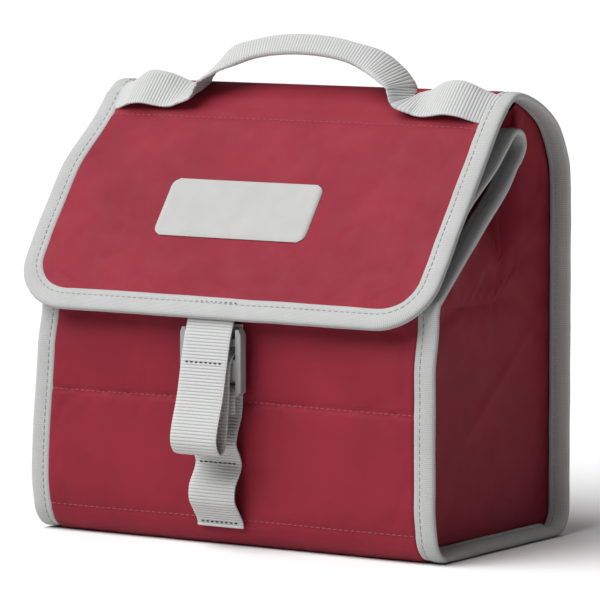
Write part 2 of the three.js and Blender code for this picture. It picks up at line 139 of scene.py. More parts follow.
def even(path, count):
    s = arc_length(path)
    return sampled(path, s, np.linspace(0, s[-1], count))


def arc(cy, cz, radius, start, end, count=9):
    a = np.radians(np.linspace(start, end, count))
    return np.stack([cy + radius * np.cos(a), cz + radius * np.sin(a)], 1)


def tangents(path):
    t = np.gradient(path, axis=0)
    return t / np.linalg.norm(t, axis=1)[:, None]


def unit(v):
    v = np.asarray(v, float)
    return v / np.maximum(np.linalg.norm(v, axis=-1, keepdims=True), 1e-9)


def smoothstep(x, low, high):
    t = np.clip((x - low) / (high - low), 0, 1)
    return t * t * (3 - 2 * t)


def bell(x, middle, width):
    return np.exp(-(((x - middle) / width) ** 2))


def soft_noise(points, size, seed):
    """Smooth noise from -1 to 1 at each point, with lumps about that size."""
    flat = np.asarray(points, float).reshape(-1, 3)
    shift = Vector((seed * 13.7, seed * 5.1, seed * 9.3))
    values = [noise.noise(Vector(p / size) + shift) for p in flat]
    return np.array(values).reshape(np.shape(points)[:-1])


def across_x(path, x0, x1, columns):
    """A path in Y-Z carried across X: a grid of points, one row for each point of the path."""
    x = np.linspace(x0, x1, columns)
    grid = np.zeros((len(path), columns, 3))
    grid[:, :, 0] = x[None]
    grid[:, :, 1:] = np.asarray(path)[:, None, :]
    return grid


def normals(grid, out):
    """Unit normals of a grid, on the side that out points to at the middle of its first row."""
    n = unit(np.cross(np.gradient(grid, axis=1), np.gradient(grid, axis=0)))
    if n[0, grid.shape[1] // 2] @ np.asarray(out, float) < 0:
        n = -n
    return n


def shifted(path, distance):
    """A Y-Z path moved sideways, to the left of its direction."""
    t = tangents(path)
    return path + np.stack([-t[:, 1], t[:, 0]], 1) * distance


# -------- meshes

def new_object(name, data):
    made = bpy.data.objects.new(name, data)
    bpy.context.scene.collection.objects.link(made)
    return made


def ring_faces(first, count, size):
    """The faces between that many rings of points, counted from the point first."""
    faces = []
    for start in range(first, first + (count - 1) * size, size):
        for j in range(size):
            k = (j + 1) % size
            faces.append((start + j, start + k, start + size + k, start + size + j))
    return faces


def make_object(name, points, faces, material, uvs=None):
    mesh = bpy.data.meshes.new(name)
    mesh.from_pydata([tuple(p) for p in np.asarray(points) * MM], [], faces)
    if uvs is not None:
        layer = mesh.uv_layers.new(name="Cloth")
        index = np.zeros(len(mesh.loops), int)
        mesh.loops.foreach_get("vertex_index", index)
        layer.data.foreach_set("uv", (np.asarray(uvs)[index] * MM).ravel())
    mesh.materials.append(material)
    work = bmesh.new()
    work.from_mesh(mesh)
    bmesh.ops.recalc_face_normals(work, faces=work.faces)
    work.to_mesh(mesh)
    work.free()
    mesh.shade_smooth()
    mesh.set_sharp_from_angle(angle=math.radians(55))
    return new_object(name, mesh)


def tube_object(name, rings, material, uvs, columns):
    """Closed rings joined in order. A ring is a front edge of that many points and its back."""
    rings = np.asarray(rings)
    count, size = rings.shape[:2]
    faces = ring_faces(0, count, size)
    last = (count - 1) * size
    for start in (0, last):
        spare = size - 2 * columns
        for j in range(columns - 1):
            back = size - 1 - j - spare // 2
            faces.append((start + j, start + j + 1, start + back - 1, start + back))
        if spare:
            faces.append((start + size - 1, start, start + size - 2))
            faces.append((start + columns - 1, start + columns, start + columns + 1))
    return make_object(name, rings.reshape(-1, 3), faces, material, np.reshape(uvs, (-1, 2)))


def sheet_object(name, grid, thickness, material, out, shading=None):
    """A cloth of that thickness behind a grid of points, with a rounded rim at its sides.
    shading is the grid's normals where it carries on smoothly into another piece."""
    n = normals(grid, out)
    back = grid - n * np.asarray(thickness)[..., None]
    middle = (grid + back) / 2
    over = unit(np.gradient(grid, axis=1))
    bulge = np.max(thickness) * 0.4
    left = middle[:, :1] - over[:, :1] * bulge
    right = middle[:, -1:] + over[:, -1:] * bulge
    rings = np.concatenate([grid, right, back[:, ::-1], left], axis=1)
    s = arc_length(grid[:, grid.shape[1] // 2])
    u = arc_length(grid[grid.shape[0] // 2])
    u = np.concatenate([u, u[-1:], u[::-1], u[:1]])
    uvs = np.stack(np.meshgrid(u, s), axis=2)
    piece = tube_object(name, rings, material, uvs, grid.shape[1])
    if shading is not None:
        rim = over[:, -1:]
        all_ways = np.concatenate([shading, rim, -shading[:, ::-1], -over[:, :1]], axis=1)
        piece.data.normals_split_custom_set_from_vertices(all_ways.reshape(-1, 3).tolist())
    return piece


def sweep(name, path, across, section, material, along=None):
    """Carries a closed section along a path. across is the section's first axis at each point,
    and along is the length of cloth up to it, where that isn't the path's own length."""
    t = tangents(path)
    across = unit(across - (across * t).sum(1)[:, None] * t)
    up = np.cross(t, across)
    along = arc_length(path) if along is None else along
    rings = []
    uvs = []
    for i, point in enumerate(path):
        shape = section(i)
        rings.append(point + shape[:, :1] * across[i] + shape[:, 1:] * up[i])
        uvs.append(np.stack([shape[:, 0], np.full(len(shape), along[i])], 1))
    return tube_object(name, rings, material, uvs, len(rings[0]) // 2)


def flat_section(width, thickness, columns=9, power=4.0):
    """A flat strip with round edges: its front from edge to edge, then its back."""
    u = np.sin(np.linspace(-0.5, 0.5, columns) * math.pi * 0.985)
    half = (1 - np.abs(u) ** power) ** (1 / power) * thickness / 2
    front = np.stack([u * width / 2, half], 1)
    return np.vstack([front, (front * [1, -1])[::-1]])


def thread(name, runs, material, pitch=3.1, length=2.4, radius=0.27):
    """Rows of stitches: a small spindle for each, lying along its run of (points, normals)."""
    sides = 6
    shape = [(-0.5, 0.15), (-0.32, 0.85), (0.0, 1.0), (0.32, 0.85), (0.5, 0.15)]
    points = []
    faces = []
    for path, facing in runs:
        path = np.asarray(path, float)
        s = arc_length(path)
        count = max(int(s[-1] / pitch), 1)
        at = (np.arange(count) + 0.5) * s[-1] / count
        along = tangents(path)
        facing = np.broadcast_to(np.asarray(facing, float), path.shape)
        middle, along, facing = (sampled(values, s, at) for values in (path, along, facing))
        for c, a, b in zip(middle, unit(along), facing):
            side = unit(np.cross(a, b))
            b = np.cross(side, a)
            first = len(points)
            for x, r in shape:
                for k in range(sides):
                    w = 2 * math.pi * k / sides
                    ring = side * math.cos(w) + b * math.sin(w)
                    points.append(c + a * x * length + ring * r * radius)
            faces += ring_faces(first, len(shape), sides)
            faces.append(tuple(first + k for k in range(sides)))
            faces.append(tuple(first + (len(shape) - 1) * sides + k for k in range(sides)))
    return make_object(name, points, faces, material)


def held(grid, first, last, sides, heights=()):
    """The points that the simulation holds: rows at both ends, columns at both sides, and the
    row nearest to each of the heights."""
    pinned = np.zeros(grid.shape[:2], bool)
    pinned[:first] = True
    pinned[len(pinned) - last:] = True
    pinned[:, :sides] = pinned[:, -sides:] = True
    for height in heights:
        pinned[np.argmin(np.abs(grid[:, 0, 2] - height))] = True
    return pinned


def settle(grid, out, pinned, pressure, growth, cap):
    """Cloth simulation of a grid of points. The pinned ones hold still and the rest swell outwards,
    with their movement limited to about cap millimetres."""
    rows, columns = grid.shape[:2]
    n = normals(grid, out)
    natural = np.cross(grid[0, 1] - grid[0, 0], grid[1, 0] - grid[0, 0])
    turned = natural @ n[0, 0] < 0
    faces = []
    for i in range(rows - 1):
        for j in range(columns - 1):
            a = i * columns + j
            face = (a, a + 1, a + columns + 1, a + columns)
            faces.append(face[::-1] if turned else face)
    mesh = bpy.data.meshes.new("settling")
    mesh.from_pydata([tuple(p) for p in grid.reshape(-1, 3) * MM], [], faces)
    cloth_piece = new_object("settling", mesh)
    scene = bpy.context.scene
    group = cloth_piece.vertex_groups.new(name="pinned")
    group.add([int(i) for i in np.flatnonzero(pinned.ravel())], 1.0, "REPLACE")
    cloth = cloth_piece.modifiers.new("Cloth", "CLOTH")
    for setting, value in (
        ("vertex_group_mass", "pinned"), ("quality", 6), ("mass", 0.2),
        ("tension_stiffness", 12), ("compression_stiffness", 12), ("shear_stiffness", 5),
        ("bending_stiffness", 0.4), ("use_pressure", True),
        ("uniform_pressure_force", pressure), ("shrink_min", -growth),
    ):
        setattr(cloth.settings, setting, value)
    cloth.settings.effector_weights.gravity = 0
    cloth.point_cache.frame_start = 1
    cloth.point_cache.frame_end = SETTLE_FRAMES
    for step in range(1, SETTLE_FRAMES + 1):
        scene.frame_set(step)
    shape = cloth_piece.evaluated_get(bpy.context.evaluated_depsgraph_get()).to_mesh()
    moved = np.zeros(len(shape.vertices) * 3)
    shape.vertices.foreach_get("co", moved)
    moved = moved.reshape(grid.shape) / MM - grid
    cloth_piece.evaluated_get(bpy.context.evaluated_depsgraph_get()).to_mesh_clear()
    bpy.data.objects.remove(cloth_piece)
    bpy.data.meshes.remove(mesh)
    scene.frame_set(1)
    size = np.linalg.norm(moved, axis=2)
    limit = np.broadcast_to(cap, size.shape)
    keep = limit * np.tanh(size / np.maximum(limit, 1e-6)) / np.maximum(size, 1e-6)
    moved = moved * keep[:, :, None]
    sunk = np.minimum((moved * n).sum(2) + 0.15, 0)
    return grid + moved - n * sunk[:, :, None]


def slouch(piece):
    """Draws the mouth of the bag in a little at its front left corner, as cloth does in use."""
    mesh = piece.data
    points = np.empty(len(mesh.vertices) * 3, np.float32)
    mesh.vertices.foreach_get("co", points)
    points = points.reshape(-1, 3)
    x, y, z = (points / MM).T
    amount = smoothstep(z, 25, 105) * (1 - smoothstep(z, 112, 150))
    points[:, 0] += SLOUCH * MM * amount * smoothstep(-x, 30, 100) * smoothstep(-y, 0, 50)
    mesh.vertices.foreach_set("co", points.ravel())
    mesh.update()


def place(piece, slot, nodes=(), body=None, blend=None):
    """Draws the mouth in a little unless the piece rides on the flap, hides the CAD nodes it stands for
    and hangs it on its body, or applies its transform where it blends between bodies. slot is not used.
    """
    if body != "flap" and blend is not TO_FLAP:
        slouch(piece)
    if nodes:
        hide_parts(*nodes)
    if blend:
        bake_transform(piece)
    else:
        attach(piece, body)
    return piece


TO_THROAT = ("body", "throat", (0, FRONT_Y, FRONT_FOLD[1] - 4), (0, FRONT_Y + 2, FRONT_FOLD[1] + 5))
TO_RIDGE = ("body", "ridge", (0, REAR_Y, REAR_FOLD[1] - 12), (0, REAR_Y, REAR_FOLD[1] + 13))
HINGE_POINT = np.array([0, HINGE[0], HINGE[1]])
TO_FLAP = ("ridge", "flap", HINGE_POINT - FLAP_DOWN * 6, HINGE_POINT + FLAP_DOWN * 6)


# -------- materials

def new_material(name, roughness, sheen=0.0, specular=0.5):
    material = bpy.data.materials.new(name)
    material.use_nodes = True
    shader = material.node_tree.nodes["Principled BSDF"]
    shader.inputs["Roughness"].default_value = roughness
    shader.inputs["Sheen Weight"].default_value = sheen
    shader.inputs["Sheen Roughness"].default_value = 0.45
    shader.inputs["Specular IOR Level"].default_value = specular
    return material, material.node_tree, shader


def add_node(tree, kind, settings=None, **inputs):
    node = tree.nodes.new(kind)
    for key, value in (settings or {}).items():
        setattr(node, key, value)
    for key, value in inputs.items():
        socket = node.inputs[key.replace("_", " ")]
        if isinstance(value, bpy.types.NodeSocket):
            tree.links.new(value, socket)
        else:
            socket.default_value = value
    return node


def grain(tree, size, detail):
    """Fine noise with lumps of that size in millimetres."""
    where = add_node(tree, "ShaderNodeTexCoord").outputs["Object"]
    noisy = add_node(tree, "ShaderNodeTexNoise", Vector=where, Scale=1000 / size, Detail=detail)
    return noisy.outputs["Fac"]


def ramp(tree, factor, stops):
    """Colours or greys at positions from 0 to 1."""
    node = tree.nodes.new("ShaderNodeValToRGB")
    tree.links.new(factor, node.inputs["Fac"])
    elements = node.color_ramp.elements
    while len(elements) < len(stops):
        elements.new(0.5)
    for element, (at, color) in zip(elements, stops):
        element.position = at
        element.color = (*color, 1)
    return node.outputs["Color"]


def shade(color, factor):
    return tuple(c * factor for c in color)


def bumps(tree, shader, layers):
    """Layers of (height output, strength, depth in millimetres), one on another."""
    last = None
    for height, strength, depth in layers:
        bump = add_node(tree, "ShaderNodeBump", Strength=strength, Distance=depth * MM, Height=height)
        if last is not None:
            tree.links.new(last, bump.inputs["Normal"])
        last = bump.outputs["Normal"]
    tree.links.new(last, shader.inputs["Normal"])


def clouded(tree, shader, color, lumps, low, high):
    """Colours a material between two shades of its colour, in soft clouds."""
    tint = ramp(tree, lumps, [(0.3, shade(color, low)), (0.7, shade(color, high))])
    tree.links.new(tint, shader.inputs["Base Color"])


def scuffed(tree, shader, lumps, low, high, start=0.3):
    """Makes a material's roughness wander between two values."""
    gloss = ramp(tree, lumps, [(start, (low,) * 3), (0.7, (high,) * 3)])
    tree.links.new(gloss, shader.inputs["Roughness"])


def stripes(tree, where, direction, pitch, wobble):
    """Yarns side by side at that pitch in millimetres."""
    wave = add_node(tree, "ShaderNodeTexWave", {"bands_direction": direction}, Vector=where,
                    Scale=1000 / pitch / 3.18, Distortion=wobble, Detail=1.0, Detail_Scale=2.0)
    return wave.outputs["Fac"]


def product_color(tree, shader, first, second):
    """Colours a material with one colour times another."""
    mix = add_node(tree, "ShaderNodeMix", {"data_type": "RGBA", "blend_type": "MULTIPLY"})
    mix.inputs[0].default_value = 1.0
    tree.links.new(first, mix.inputs[6])
    tree.links.new(second, mix.inputs[7])
    tree.links.new(mix.outputs[2], shader.inputs["Base Color"])


def coated_fabric(name, color):
    """Matt coated fabric: a fine pebble grain, faint cloudiness and rubbed high spots."""
    material, tree, shader = new_material(name, 0.6, 0.0, 0.1)
    clouded(tree, shader, color, grain(tree, 34, 3), 0.9, 1.08)
    pebble = add_node(
        tree, "ShaderNodeTexVoronoi", {"feature": "SMOOTH_F1"},
        Vector=add_node(tree, "ShaderNodeTexCoord").outputs["Object"], Scale=1000 / 0.7,
    )
    scuffed(tree, shader, grain(tree, 9, 4), 0.54, 0.66)
    bumps(tree, shader, [(pebble.outputs["Distance"], 0.16, 0.12), (grain(tree, 17, 3), 0.3, 0.7)])
    return material


def woven(name, color, pitch, depth, dip_shade=0.75):
    """Plain-woven narrow cloth: yarns along and across it, with a little fuzz, painted shade where the
    weave dips and a faint painted highlight on its tops.
    """
    material, tree, shader = new_material(name, 0.9, 0.15, 0.2)
    where = add_node(tree, "ShaderNodeTexCoord").outputs["UV"]
    weave = add_node(tree, "ShaderNodeMath", {"operation": "MULTIPLY"})
    tree.links.new(stripes(tree, where, "X", pitch * 0.8, 0.6), weave.inputs[0])
    tree.links.new(stripes(tree, where, "Y", pitch, 0.6), weave.inputs[1])
    # Darker where the weave dips and a little lighter on its tops, following the bump: painted shade and
    # painted highlight.
    low = shade(color, dip_shade)
    yarn = ramp(tree, weave.outputs["Value"], [(0.0, low), (0.45, color), (1.0, shade(color, 1.06))])
    tone = ramp(tree, grain(tree, 12, 3), [(0.3, (0.93,) * 3), (0.7, (1.0,) * 3)])
    product_color(tree, shader, yarn, tone)
    bumps(tree, shader, [(weave.outputs["Value"], 0.5, depth), (grain(tree, 0.5, 4), 0.25, 0.12)])
    return material


def ribbed_webbing(name, color, rib):
    """Webbing with a rib across it at that pitch in millimetres, with painted shade in the grooves
    between ribs and between its yarns.
    """
    material, tree, shader = new_material(name, 0.9, 0.1, 0.15)
    where = add_node(tree, "ShaderNodeTexCoord").outputs["UV"]
    split = add_node(tree, "ShaderNodeSeparateXYZ", Vector=where)
    value = split.outputs["Y"]
    ribs_per_metre = 1000 / rib
    for kind, amount in (
        ("MULTIPLY", math.pi * ribs_per_metre), ("SINE", 0), ("ABSOLUTE", 0), ("POWER", 0.6),
    ):
        node = add_node(tree, "ShaderNodeMath", {"operation": kind})
        tree.links.new(value, node.inputs[0])
        node.inputs[1].default_value = amount
        value = node.outputs["Value"]
    yarn = stripes(tree, where, "X", 0.7, 0.8)
    # The grooves between ribs and the gaps between yarns are painted darker: painted shade.
    tint = ramp(tree, value, [(0.0, shade(color, 0.42)), (0.5, shade(color, 0.9)), (0.85, color)])
    tone = ramp(tree, yarn, [(0.0, (0.86,) * 3), (0.6, (1.0,) * 3)])
    product_color(tree, shader, tint, tone)
    bumps(tree, shader, [(yarn, 0.4, 0.1), (grain(tree, 0.4, 4), 0.3, 0.12)])
    return material


def moulded(name, color, roughness):
    """Injection-moulded plastic with a fine eroded texture."""
    material, tree, shader = new_material(name, roughness, 0.0, 0.5)
    clouded(tree, shader, color, grain(tree, 14, 2), 0.92, 1.06)
    scuffed(tree, shader, grain(tree, 3, 5), roughness - 0.06, roughness + 0.1, 0.35)
    bumps(tree, shader, [(grain(tree, 0.35, 3), 0.25, 0.05)])
    return material


def cellular(name, color):
    """Cut closed-cell foam, with painted shade in its cell hollows."""
    material, tree, shader = new_material(name, 0.92, 0.05, 0.2)
    where = add_node(tree, "ShaderNodeTexCoord").outputs["Object"]
    cells = add_node(tree, "ShaderNodeTexVoronoi", Vector=where, Scale=1000 / 0.8)
    # Darker towards the middle of each cell, where the bump sinks: painted shade.
    tint = ramp(tree, cells.outputs["Distance"], [(0.0, shade(color, 0.8)), (0.5, color)])
    tree.links.new(tint, shader.inputs["Base Color"])
    bumps(tree, shader, [(cells.outputs["Distance"], 0.4, 0.25)])
    return material


def film(name, color):
    """Wipe-clean liner film with soft creases."""
    material, tree, shader = new_material(name, 0.34, 0.0, 0.55)
    crease = grain(tree, 7, 5)
    clouded(tree, shader, color, grain(tree, 25, 3), 0.93, 1.04)
    scuffed(tree, shader, crease, 0.28, 0.42)
    bumps(tree, shader, [(crease, 0.35, 0.8)])
    return material


RED = (0.198, 0.0155, 0.028)
GREY = (0.42, 0.425, 0.42)
red = coated_fabric("coated_fabric", RED)
tape = woven("binding_tape", GREY, 0.85, 0.14)
RIB = 1.5
web = ribbed_webbing("webbing", (0.46, 0.465, 0.46), RIB)
foam = cellular("insulation_foam", (0.74, 0.74, 0.70))
liner = film("wipe_clean_liner", (0.55, 0.58, 0.60))
board = moulded("stiffener_board", (0.03, 0.03, 0.034), 0.6)
plastic = moulded("buckle_plastic", (0.25, 0.255, 0.255), 0.4)
patch = woven("label_patch", (0.385, 0.385, 0.375), 0.45, 0.03, 0.94)
red_thread = woven("thread_red", (0.36, 0.07, 0.09), 0.4, 0.05)
grey_thread = woven("thread_grey", (0.36, 0.365, 0.36), 0.4, 0.05)
dark_thread = woven("thread_dark", (0.035, 0.035, 0.037), 0.4, 0.05)


# -------- front, base and rear walls

def strap_zone(x):
    """1 beside the strap and buckle, 0 well away from them."""
    return 1 - smoothstep(np.abs(x - STRAP_X), 18, 32)


def outer_cloth(name, grid, out, node, thickness=SKIN, shading=None, **motion):
    """A sheet of the coated fabric that stands for one CAD node."""
    place(sheet_object(name, grid, thickness, red, out, shading), "coated_fabric", [node], **motion)


wall = np.vstack([
    [[FRONT_Y, FRONT_FOLD[1] - 4]],
    arc(FRONT_Y + CORNER, CORNER, CORNER, 180, 270, 12),
    [[FRONT_Y + CORNER + 4, 0.0]],
])
front = across_x(even(wall, 76), -PANEL_X, PANEL_X, 110)
cap = 2.0 - 1.3 * strap_zone(front[:, :, 0])
cap *= 0.3 + 0.7 * smoothstep(front[:, :, 2], 6, 20)
front = settle(front, (0, -1, 0), held(front, 1, 1, 2, FRONT_ROWS), 3.0, 0.006, 0.4 * cap)


def proud(share, z):
    """How far the front stands out at that height. share is how much of it the place has, 0 to 1."""
    rise = smoothstep(z, 1, 26) * (1 - smoothstep(z, 86, FRONT_FOLD[1] - 5))
    return FRONT_BULGE * share * rise


front[:, :, 1] -= proud(smoothstep(np.abs(front[:, :, 0] - STRAP_X), 20, 70), front[:, :, 2])
for height in FRONT_ROWS:
    front[:, :, 1] += 0.75 * bell(front[:, :, 2], height, 1.3)
front[:, :, 1] += 0.5 * bell(front[:, :, 2], FRONT_ROWS[1] - 4, 1.6)
front[:, :, 2] = np.maximum(front[:, :, 2], 0.02)
outer_cloth("front_wall", front, (0, -1, 0), "front_panel", body="body")

floor_run = np.array([[FRONT_Y + CORNER + 2, 0.0], [REAR_Y - CORNER - 2, 0.0]])
base = across_x(even(floor_run, 26), -PANEL_X, PANEL_X, 40)
inset = np.minimum(PANEL_X - np.abs(base[:, :, 0]), 52 - np.abs(base[:, :, 1]))
base[:, :, 2] += 0.35 * smoothstep(inset, 4, 20) * (1 + soft_noise(base, 30, 3)) + 0.02
outer_cloth("base_wall", base, (0, 0, -1), "base_panel", body="body")

# The rear wall, ridge and flap are one length of cloth, sewn across at the flap's hinge line.
REAR_SPLIT = 120.0  # height of the edge between the rear wall and the upper rear
top_run = spline([
    (60, 162.2), (57.6, 176), (48, 192.5), (30, 203.6), (12, 208.2), (1.5, 203.6), (-6.4, 195.8),
], 60)
flap_from = HINGE_POINT - FLAP_DOWN * 10
rear_run = even(np.vstack([
    [[REAR_Y - CORNER - 4, 0.0]],
    arc(REAR_Y - CORNER, CORNER, CORNER, 270, 360, 12),
    [[REAR_Y, REAR_SPLIT]],
]), 66)
rear = across_x(rear_run, -PANEL_X, PANEL_X, 90)
high_run = even(np.vstack([[[REAR_Y, REAR_SPLIT]], top_run]), 84)
high = across_x(high_run, -PANEL_X, PANEL_X, 90)
whole = np.concatenate([rear, high[1:]])
cap = 2.2 * smoothstep(whole[:, :, 2], 6, 20) * smoothstep(212 - whole[:, :, 2], 3, 14)
whole = settle(whole, (0, 0, -1), held(whole, 11, 6, 2), 3.0, 0.008, np.maximum(0.7 * cap, 0.05))
whole[:, :, 2] = np.maximum(whole[:, :, 2], 0.02)
cut = len(rear) - 1
outer_cloth("rear_wall", whole[:cut + 1], (0, 0, -1), "rear_panel",
            shading=normals(whole, (0, 0, -1))[:cut + 1], body="body")


def flap_point(x, v, w):
    """A point on the flap: x across, v down from the hinge line, w out from its face."""
    x, v, w = np.broadcast_arrays(np.asarray(x, float), v, w)
    reach = np.clip((-x - 25) / 80, 0, 1.1) ** 2
    reach = reach * smoothstep(v, -2, 38) * (1 - 0.25 * smoothstep(v, 60, FLAP_LENGTH))
    x = x - FLAP_BOW * reach
    w = w + FLAP_BOW_OUT * reach
    point = HINGE_POINT + v[..., None] * FLAP_DOWN + w[..., None] * FLAP_OUT
    point[..., 0] = x
    return point


def tongue_grid(half, length, radius, rows, columns, lift, top=0.0):
    """The flap's outline as a grid: straight sides, then round lower corners."""
    v = np.linspace(top, length, rows)
    into = np.maximum(v - (length - radius), 0)
    into = np.minimum(into, radius * 0.985)
    reach = half - radius + np.sqrt(radius**2 - into**2)
    u = np.linspace(-1, 1, columns)
    x = reach[:, None] * u[None]
    return flap_point(x, v[:, None], lift), x, np.broadcast_to(v[:, None], x.shape)


def near_label(x, v, margin=5.0):
    dx = np.abs(x - LABEL["x"]) - LABEL["width"] / 2
    dv = np.abs(v - LABEL["v"]) - LABEL["height"] / 2
    return 1 - smoothstep(np.maximum(dx, dv), 0, margin)


skin_half = EDGE_X - FLAP_TAPE + UNDER_TAPE
skin_length = FLAP_LENGTH - FLAP_TAPE + UNDER_TAPE
skin_radius = FLAP_RADIUS - FLAP_TAPE + UNDER_TAPE
skin, flap_x, flap_v = tongue_grid(skin_half, skin_length, skin_radius, 64, 100, 0.0)
cap = 2.2 * (1 - 0.94 * near_label(flap_x, flap_v, 14)) + 0.03
skin = settle(skin, FLAP_OUT, held(skin, 3, 4, 4), 2.0, 0.005, 0.22 * cap)
crown = smoothstep(np.minimum(skin_half - np.abs(flap_x), skin_length - flap_v), 4, 22)
skin += (0.5 * crown * (1 - near_label(flap_x, flap_v)))[..., None] * FLAP_OUT
skin -= (0.45 * bell(flap_v, HINGE_SEAM, 1.0))[..., None] * FLAP_OUT

# From the ridge over the hinge line onto the flap the side edges widen from the panel's to the flap's.
ridge_rows = whole[cut:]
ridge_x = ridge_rows[:, :, 0]
widen = smoothstep(-ridge_rows[:, :, 1], -14, 6) * (ridge_rows[:, :, 2] > 170)
ridge_rows[:, :, 0] = ridge_x * (1 + (skin_half / PANEL_X - 1) * widen)
profile = ridge_rows[:, ridge_rows.shape[1] // 2, 1:]
split = int(np.argmin(np.linalg.norm(profile - flap_from[1:], axis=1) + 100 * (profile[:, 1] < 185)))
u_old = np.linspace(0, 1, ridge_rows.shape[1])
u_new = np.linspace(0, 1, skin.shape[1])
ridge_rows = np.stack([sampled(row, u_old, u_new) for row in ridge_rows])
over_all = np.concatenate([ridge_rows[:-1], skin])
over_normals = normals(over_all, (0, 1, 0))
outer_cloth("upper_rear", over_all[:split + 1], (0, 1, 0), "top_panel",
            shading=over_normals[:split + 1], blend=TO_RIDGE)
joined = over_all[split:]
outer_cloth("flap_skin", joined, (0, 0, 1), "flap_panel", shading=over_normals[split:], blend=TO_FLAP)

# -------- throat

slope_run = np.vstack([
    [[FRONT_Y, FRONT_FOLD[1] - 4], [FRONT_Y, FRONT_FOLD[1]]],
    spline([(-58.2, 115.8), (-40, 130.3), (-20, 146.5), (2, 164), (14, 174)], 30),
])
slope = across_x(even(slope_run, 60), -PANEL_X, PANEL_X, 70)
inset = np.minimum(PANEL_X - np.abs(slope[:, :, 0]), 30)
sag = smoothstep(inset, 2, 26) * smoothstep(slope[:, :, 2], 116, 128)
slope[:, :, 2] += sag * (0.5 * soft_noise(slope, 22, 5) + 0.4)
outer_cloth("throat_skin", slope, (0, -1, 0), "throat_panel", blend=TO_THROAT)
LOOP = [(-37, 143.6), (-27, 156.2), (-16, 167.6), (-6, 177.0), (2, 184.6), (10, 191.2), (18, 189.8),
        (20.2, 182.4), (14.8, 174.8)]
cuff_run = spline(LOOP, 70)
cuff = across_x(cuff_run, -PANEL_X, PANEL_X, 70)
cuff[:, :, 2] += 0.6 * soft_noise(cuff, 20, 6) * smoothstep(PANEL_X - np.abs(cuff[:, :, 0]), 1, 14)
outer_cloth("throat_cuff_cloth", cuff, (0, -1, 1), "throat_cuff", 2.0, body="throat")

# -------- side panels and tucked-in folds

CREASE_FOOT = np.array([8.0, 112.0])
CREASE_TOP = np.array([30.0, 184.0])
SIDE_ROWS = 56
SIDE_COLUMNS = 40
FOLD_ROWS = 46
SIDE_FACE = SIDE_X - 0.6
y_across = np.linspace(FRONT_Y + 0.8, REAR_Y - 0.8, 2 * SIDE_COLUMNS - 1)
border = np.interp(y_across, [FRONT_Y, CREASE_FOOT[0], REAR_Y], [FRONT_FOLD[1], CREASE_FOOT[1], 158])
corner = CORNER - np.sqrt(np.maximum(CORNER**2 - np.maximum(
    np.abs(y_across) - (REAR_Y - CORNER), 0)**2, 0))
foot = corner + 2.5


def side_grids():
    """The right side as three grids: the lower panel, and the front and rear halves of the fold."""
    rows = np.linspace(0, 1, SIDE_ROWS)[:, None]
    panel = np.zeros((SIDE_ROWS, len(y_across), 3))
    panel[:, :, 0] = SIDE_FACE
    panel[:, :, 1] = y_across
    panel[:, :, 2] = foot + rows * (border - foot)
    front_edge = even(np.vstack([[[y_across[0], border[0]]], slope_run[3:] + [1.6, -0.6]]), FOLD_ROWS)
    rear_run = np.vstack([[[y_across[-1], border[-1]]], top_run[2:36] - [2.0, 1.4]])
    rear_edge = even(rear_run, FOLD_ROWS)
    t = np.linspace(0, 1, FOLD_ROWS)
    crease = CREASE_FOOT + (CREASE_TOP - CREASE_FOOT) * t[:, None]
    inwards = -CREASE_DEPTH * t**1.8
    to_crease = np.linspace(0, 1, SIDE_COLUMNS)
    halves = []
    for edge, c in ((front_edge, to_crease), (rear_edge, to_crease[::-1])):
        grid = np.zeros((FOLD_ROWS, SIDE_COLUMNS, 3))
        grid[:, :, 0] = SIDE_FACE + inwards[:, None] * np.sin(c * math.pi / 2) ** 2.2
        grid[:, :, 1:] = edge[:, None] + (crease - edge)[:, None] * c[None, :, None]
        grid[0, :, 2] = np.interp(grid[0, :, 1], y_across, border)
        halves.append(grid)
    return panel, *halves


panel, fold_front, fold_rear = side_grids()
fold = np.concatenate([fold_front, fold_rear[:, 1:]], axis=1)
t = np.linspace(0, 1, fold.shape[0])[:, None]
fold = settle(fold, (1, 0, 0), held(fold, 2, 0, 2), 0.6, 0.03, 0.2 + 2.4 * t)
ends = smoothstep(np.abs(np.linspace(-1, 1, fold.shape[1])), 1, 0.85)[None]
pleat = 1.3 * soft_noise(fold * [0.5, 1, 0.35], 9, 8) + 1.0 * soft_noise(fold, 16, 9)
fold[:, :, 0] += pleat * ends * smoothstep(t, 0, 0.25)
inset = np.minimum(np.minimum(y_across - y_across[0], y_across[-1] - y_across), 30)
panel = settle(panel, (1, 0, 0), held(panel, 2, 1, 2), 3.0, 0.008, 1.4)
panel[:, :, 1] -= proud(smoothstep(-panel[:, :, 1], 30, 60), panel[:, :, 2])
across_line = (panel[:, :, 2] - 57) - (panel[:, :, 1] + 13) * 0.78
edge_fade = smoothstep(inset, 2, 18)[None] * smoothstep(border - panel[:, :, 2], 0, 12)
panel[:, :, 0] += 0.5 * edge_fade * bell(across_line, 0, 3.2) * smoothstep(panel[:, :, 1], -30, 0)
tuck = np.repeat(panel[-1:], 3, axis=0)
tuck[:, :, 0] -= np.array([1.5, 1.7, 1.7])[:, None]
tuck[:, :, 2] += np.array([0.0, 6.0, 12.0])[:, None] * edge_fade.max() * smoothstep(inset, 3, 12)
# For each half of a fold: the direction in which it passes from the body to its own body, and the
# dot products of that direction with a point, in millimetres, where the passage starts and ends.
FRONT_HALF = (1, -0.6, 0.8, 181, 226)
REAR_HALF = (1.65, 0, 1, 322, 362)
SIDE_SKIN = 1.1
FOLD_SKIN = 1.0


def half_blend(other, half, sign):
    direction = np.array(half[:3], float) * [sign, 1, 1]
    size = direction @ direction
    return ("body", other, direction * half[3] / size, direction * half[4] / size)


